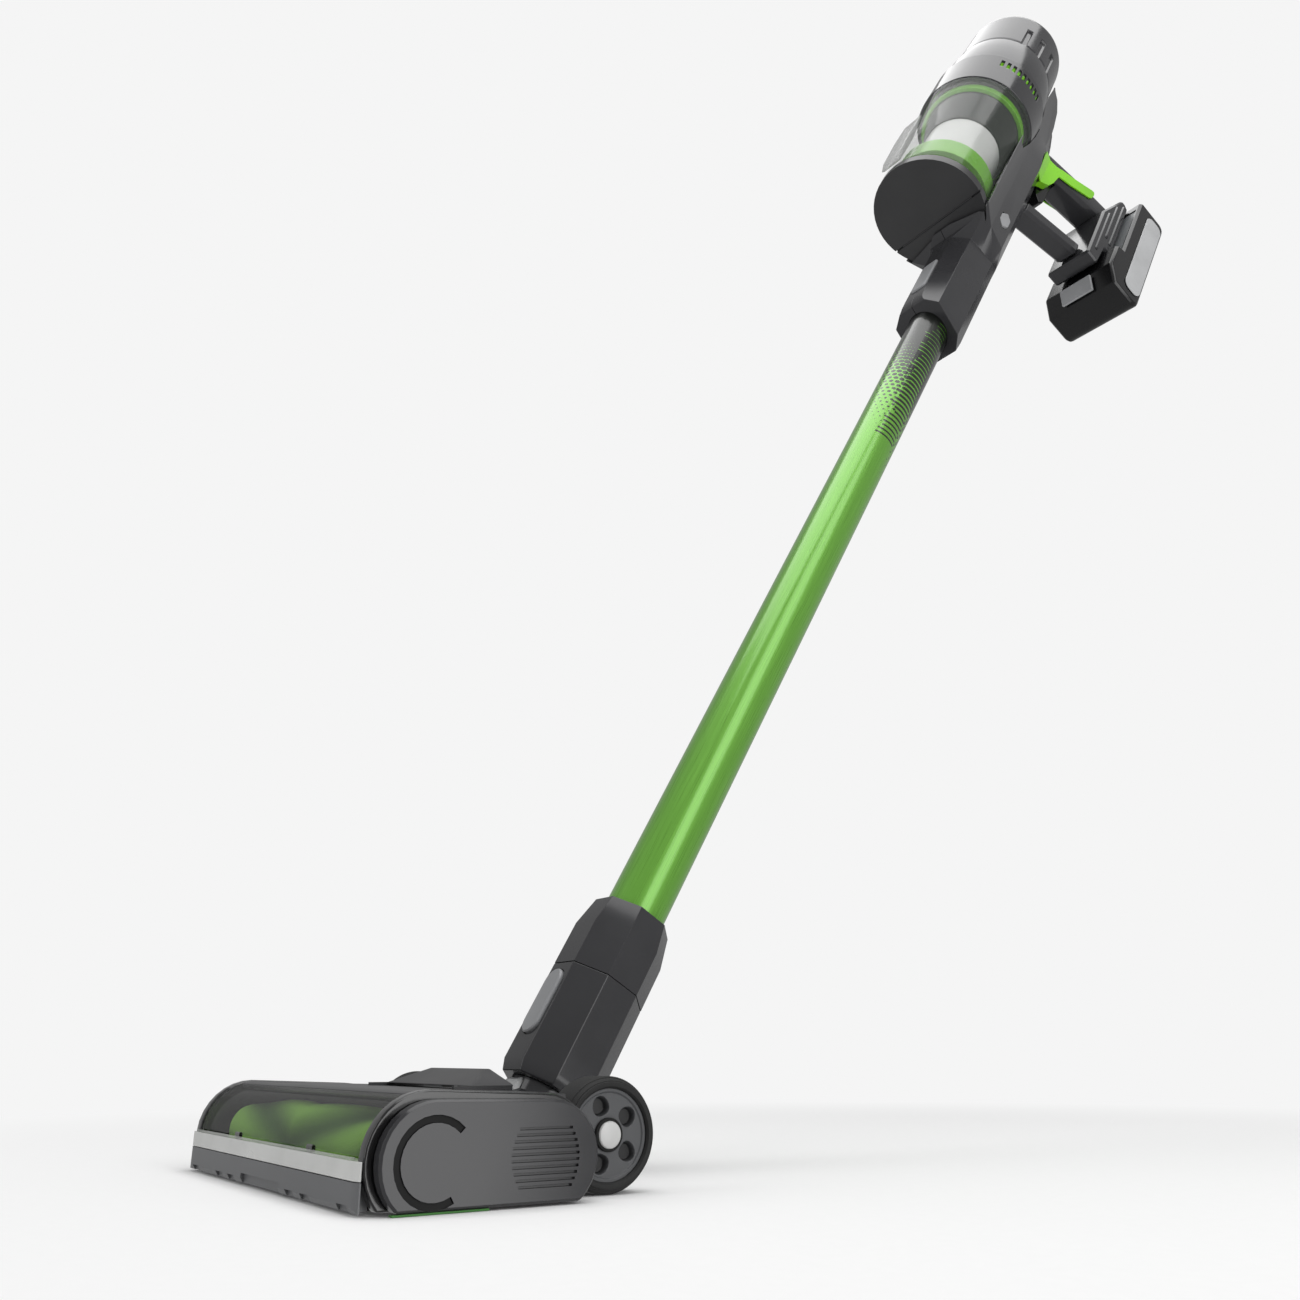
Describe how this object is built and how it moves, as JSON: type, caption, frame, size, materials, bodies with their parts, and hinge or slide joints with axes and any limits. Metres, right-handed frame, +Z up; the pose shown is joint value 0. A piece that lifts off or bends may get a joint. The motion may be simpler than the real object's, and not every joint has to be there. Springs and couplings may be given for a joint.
{
  "type": "cordless stick vacuum",
  "caption": "Cordless stick vacuum: powered floor head, hinged neck, round wand, hand unit with clear dust bin, and a slide-on battery.",
  "frame": {"origin": "centre of the bounding box's footprint, on the floor", "axes": "+Z up; the floor head's front faces -Y and the wand leans back towards +Y; +X is across the head"},
  "size_m": [0.25, 0.8106, 1.0246],
  "materials": {
    "battery_case": "satin",
    "battery_dock": "satin",
    "battery_latch": "satin",
    "battery_plate_left": "satin",
    "battery_plate_right": "satin",
    "bin_collar": "satin",
    "bin_lid": "satin",
    "bin_release_button_left": "satin",
    "bin_release_button_right": "satin",
    "brush_motor": "satin",
    "brush_roller": "matte",
    "cell_pack": "satin",
    "connector_body": "satin",
    "connector_sleeve": "satin",
    "cyclone_cone": "satin",
    "cyclone_flange": "satin",
    "cyclone_shroud": "satin",
    "cyclone_skirt": "satin",
    "drive_belt": "matte",
    "dust_bin": "gloss",
    "end_cap_left": "satin",
    "end_cap_right": "satin",
    "end_wall_left": "satin",
    "end_wall_right": "satin",
    "exhaust_filter": "matte",
    "filter_cap": "satin",
    "front_bumper": "satin",
    "front_strut": "satin",
    "grip": "satin",
    "grip_accent_left": "satin",
    "grip_accent_right": "satin",
    "head_release_button": "satin",
    "hood_window": "gloss",
    "hump_cover": "satin",
    "impeller": "satin",
    "lid_fixed_part": "satin",
    "lid_hinge_pin": "satin",
    "lid_latch": "gloss",
    "light_strip": "satin",
    "mesh_screen": "satin",
    "motor_pulley": "satin",
    "motor_shell": "satin",
    "neck_elbow": "satin",
    "rear_tub": "satin",
    "roller_bearing_left": "satin",
    "roller_bearing_right": "satin",
    "sole_plate": "satin",
    "spine_left": "satin",
    "spine_right": "satin",
    "suction_motor": "satin",
    "top_cover": "satin",
    "trigger": "satin",
    "tyre_left": "matte",
    "tyre_right": "matte",
    "vent_ring": "satin",
    "wand_release_button": "satin",
    "wand_tube": "gloss",
    "wheel_axle": "satin",
    "wheel_hub_left": "satin",
    "wheel_hub_right": "satin"
  },
  "bodies": {
    "hand_unit": {"spine_left": "spine_left", "spine_right": "spine_right", "grip": "grip", "grip_accent_left": "grip_accent_left", "grip_accent_right": "grip_accent_right", "front_strut": "front_strut", "battery_dock": "battery_dock", "dust_bin": "dust_bin", "lid_fixed_part": "lid_fixed_part", "lid_hinge_pin": "lid_hinge_pin", "cyclone_shroud": "cyclone_shroud", "mesh_screen": "mesh_screen", "cyclone_skirt": "cyclone_skirt", "cyclone_cone": "cyclone_cone", "cyclone_flange": "cyclone_flange", "bin_collar": "bin_collar", "vent_ring": "vent_ring", "motor_shell": "motor_shell", "suction_motor": "suction_motor"},
    "impeller": {"impeller": "impeller"},
    "filter_cap": {"filter_cap": "filter_cap", "exhaust_filter": "exhaust_filter"},
    "bin_lid": {"bin_lid": "bin_lid"},
    "lid_latch": {"lid_latch": "lid_latch"},
    "trigger": {"trigger": "trigger"},
    "wand_button": {"wand_release_button": "wand_release_button"},
    "bin_button_left": {"bin_release_button_left": "bin_release_button_left"},
    "bin_button_right": {"bin_release_button_right": "bin_release_button_right"},
    "battery": {"battery_case": "battery_case", "cell_pack": "cell_pack", "battery_plate_left": "battery_plate_left", "battery_plate_right": "battery_plate_right"},
    "battery_latch": {"battery_latch": "battery_latch"},
    "wand": {"wand_tube": "wand_tube"},
    "connector": {"connector_body": "connector_body", "connector_sleeve": "connector_sleeve"},
    "head_button": {"head_release_button": "head_release_button"},
    "elbow": {"neck_elbow": "neck_elbow"},
    "head": {"sole_plate": "sole_plate", "rear_tub": "rear_tub", "top_cover": "top_cover", "hump_cover": "hump_cover", "hood_window": "hood_window", "light_strip": "light_strip", "front_bumper": "front_bumper", "end_wall_left": "end_wall_left", "end_wall_right": "end_wall_right", "end_cap_left": "end_cap_left", "end_cap_right": "end_cap_right", "brush_motor": "brush_motor", "drive_belt": "drive_belt", "roller_bearing_left": "roller_bearing_left", "roller_bearing_right": "roller_bearing_right", "wheel_axle": "wheel_axle"},
    "brush": {"brush_roller": "brush_roller"},
    "brush_drive": {"motor_pulley": "motor_pulley"},
    "wheel_left": {"tyre_left": "tyre_left", "wheel_hub_left": "wheel_hub_left"},
    "wheel_right": {"tyre_right": "tyre_right", "wheel_hub_right": "wheel_hub_right"}
  },
  "joints": [
    {"name": "wand_slide", "type": "slide", "parent": "hand_unit", "child": "wand", "axis": [0, -0.5075, -0.8616], "range_m": [0, 0.06]},
    {"name": "connector_slide", "type": "slide", "parent": "wand", "child": "connector", "axis": [0, -0.5075, -0.8616], "range_m": [0, 0.09]},
    {"name": "neck_swivel", "type": "hinge", "parent": "connector", "child": "elbow", "pos_m": [0, -0.26054, 0.03782], "axis": [0, 0.5075, 0.8616], "range_deg": [-60, 60]},
    {"name": "head_pitch", "type": "hinge", "parent": "elbow", "child": "head", "pos_m": [0, -0.2865, 0.0241], "axis": [1, 0, 0], "range_deg": [-30.5, 29.5]},
    {"name": "brush_spin", "type": "hinge", "parent": "head", "child": "brush", "pos_m": [0, -0.3774, 0.0183], "axis": [1, 0, 0], "continuous": true},
    {"name": "brush_drive_spin", "type": "hinge", "parent": "head", "child": "brush_drive", "pos_m": [0, -0.3274, 0.022], "axis": [1, 0, 0], "continuous": true},
    {"name": "wheel_left_spin", "type": "hinge", "parent": "head", "child": "wheel_left", "pos_m": [0, -0.2865, 0.0241], "axis": [1, 0, 0], "continuous": true},
    {"name": "wheel_right_spin", "type": "hinge", "parent": "head", "child": "wheel_right", "pos_m": [0, -0.2865, 0.0241], "axis": [1, 0, 0], "continuous": true},
    {"name": "head_button_press", "type": "slide", "parent": "connector", "child": "head_button", "axis": [0, 0.8616, -0.5075], "range_m": [0, 0.002], "stiffness_N_per_m": 400},
    {"name": "wand_button_press", "type": "slide", "parent": "hand_unit", "child": "wand_button", "axis": [0, 0.8616, -0.5075], "range_m": [0, 0.002], "stiffness_N_per_m": 400},
    {"name": "bin_button_left_press", "type": "slide", "parent": "hand_unit", "child": "bin_button_left", "axis": [-1, 0, 0], "range_m": [0, 0.002], "stiffness_N_per_m": 400},
    {"name": "bin_button_right_press", "type": "slide", "parent": "hand_unit", "child": "bin_button_right", "axis": [1, 0, 0], "range_m": [0, 0.002], "stiffness_N_per_m": 400},
    {"name": "trigger_pull", "type": "hinge", "parent": "hand_unit", "child": "trigger", "pos_m": [0, 0.25976, 0.86733], "axis": [1, 0, 0], "range_deg": [0, 8], "stiffness_Nm_per_rad": 0.5},
    {"name": "lid_open", "type": "hinge", "parent": "hand_unit", "child": "bin_lid", "pos_m": [0, 0.10955, 0.7469], "axis": [1, 0, 0], "range_deg": [0, 80]},
    {"name": "lid_latch_press", "type": "hinge", "parent": "hand_unit", "child": "lid_latch", "pos_m": [0, 0.0769, 0.81895], "axis": [1, 0, 0], "range_deg": [-5, 0], "stiffness_Nm_per_rad": 0.5},
    {"name": "cap_twist", "type": "hinge", "parent": "hand_unit", "child": "filter_cap", "pos_m": [0, 0.218, 0.9517], "axis": [0, 0.5075, 0.8616], "range_deg": [0, 25]},
    {"name": "impeller_spin", "type": "hinge", "parent": "hand_unit", "child": "impeller", "pos_m": [0, 0.19044, 0.90491], "axis": [0, 0.5075, 0.8616], "continuous": true},
    {"name": "battery_slide", "type": "slide", "parent": "hand_unit", "child": "battery", "axis": [0, -0.5075, -0.8616], "range_m": [0, 0.08]},
    {"name": "battery_latch_press", "type": "slide", "parent": "battery", "child": "battery_latch", "axis": [0, 0.9963, 0.0857], "range_m": [0, 0.002], "stiffness_N_per_m": 400}
  ],
  "couplings": [
    {"joint": "brush_drive_spin", "follows": "brush_spin", "ratio": 1.6667}
  ]
}
